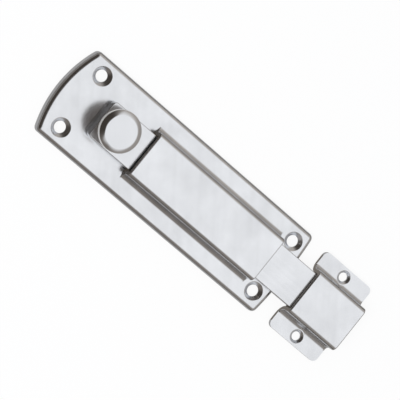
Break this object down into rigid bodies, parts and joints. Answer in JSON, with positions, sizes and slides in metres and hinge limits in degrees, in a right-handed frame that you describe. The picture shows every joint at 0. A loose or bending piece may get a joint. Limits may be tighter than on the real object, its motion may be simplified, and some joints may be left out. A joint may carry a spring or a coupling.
{
  "type": "flat sliding bolt",
  "caption": "Flat sliding door bolt: pressed plate with a raised bridge, flat bar with a round knob and friction spring, and a separate keeper.",
  "frame": {"origin": "centre of the whole set's box, on its backs, which is the door's face", "axes": "+X along the bar from the plate's arched end to the keeper, +Y across, +Z out of the door"},
  "size_m": [0.137, 0.034, 0.0149],
  "materials": {
    "plate_steel": "polished pressed stainless sheet",
    "bar_steel": "satin stainless flat bar",
    "knob_steel": "turned and polished stainless",
    "spring_steel": "dull spring strip"
  },
  "bodies": {
    "fixings": {"base_plate": "plate_steel", "keeper": "plate_steel"},
    "bolt": {"sliding_bar": "bar_steel", "knob": "knob_steel", "stop_pin": "knob_steel", "leaf_spring": "spring_steel"}
  },
  "joints": [
    {"name": "bolt_slide", "type": "slide", "parent": "fixings", "child": "bolt", "axis": [1, 0, 0], "range_m": [-0.017, 0.0085]}
  ]
}
